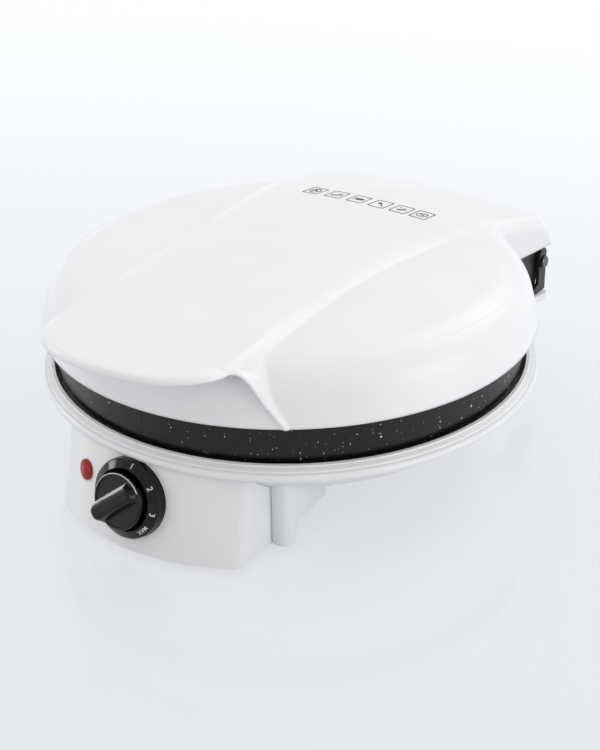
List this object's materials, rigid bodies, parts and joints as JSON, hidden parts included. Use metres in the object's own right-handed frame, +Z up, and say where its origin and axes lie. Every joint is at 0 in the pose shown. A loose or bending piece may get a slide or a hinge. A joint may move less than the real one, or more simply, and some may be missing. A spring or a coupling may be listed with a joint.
{
  "type": "pizza maker",
  "caption": "Round electric pizza maker with a rear hinged domed lid, a grip at the front, a deep coated pan, a heated plate above and a rotary thermostat.",
  "frame": {"origin": "on the table, under the middle of the whole outline", "axes": "+Z up, -Y towards the knob and the grip at the front, +X to the right seen from the front"},
  "size_m": [0.4, 0.4914, 0.1753],
  "materials": {
    "white_plastic": "glossy moulded plastic",
    "pan_coating": "dark non-stick coating with pale specks",
    "heater_steel": "dull annealed steel tube",
    "reflector_metal": "bright rolled sheet",
    "clamp_steel": "zinc plated",
    "screw_steel": "zinc plated",
    "black_steel": "black powder coat",
    "arm_metal": "black coated casting",
    "pin_steel": "dark plated",
    "black_plastic": "glossy black",
    "shaft_brass": "turned",
    "bakelite": "dull phenolic",
    "red_lens": "clear red plastic",
    "pale_plastic": "dull natural plastic",
    "rubber": "dull rubber"
  },
  "bodies": {
    "base": {"base_tray": "white_plastic", "bracket_screws": "screw_steel", "control_cover": "white_plastic", "control_cover_screws": "screw_steel", "control_housing": "white_plastic", "cord_gland": "rubber", "dial_ring": "black_plastic", "foot_front_left": "rubber", "foot_front_right": "rubber", "foot_rear_left": "rubber", "foot_rear_right": "rubber", "hinge_bracket_left": "black_steel", "hinge_bracket_right": "black_steel", "hinge_pin_left": "pin_steel", "hinge_pin_right": "pin_steel", "lower_clamp_screws": "screw_steel", "lower_element": "heater_steel", "lower_element_clamps": "clamp_steel", "lower_pan": "pan_coating", "lower_reflector": "reflector_metal", "pan_screws": "screw_steel", "pilot_lamp": "pale_plastic", "pilot_lens": "red_lens", "rear_cover": "white_plastic", "rear_cover_screws": "screw_steel", "terminal_block": "pale_plastic", "thermostat": "bakelite"},
    "lid": {"lid_shell": "white_plastic", "upper_plate": "pan_coating", "lid_screws": "screw_steel", "upper_element": "heater_steel", "upper_element_clamps": "clamp_steel", "upper_clamp_screws": "screw_steel", "arm_screws": "screw_steel", "upper_reflector": "reflector_metal", "hinge_arm_left": "arm_metal", "hinge_arm_right": "arm_metal"},
    "knob": {"knob": "black_plastic", "thermostat_shaft": "shaft_brass"}
  },
  "joints": [
    {"name": "lid_hinge", "type": "hinge", "parent": "base", "child": "lid", "pos_m": [0, 0.23525, 0.092], "axis": [-1, 0, 0], "range_deg": [0, 95]},
    {"name": "knob_turn", "type": "hinge", "parent": "base", "child": "knob", "pos_m": [-0.00235, -0.20765, 0.04275], "axis": [0.0145, 0.9719, -0.2351], "range_deg": [0, 289]}
  ]
}
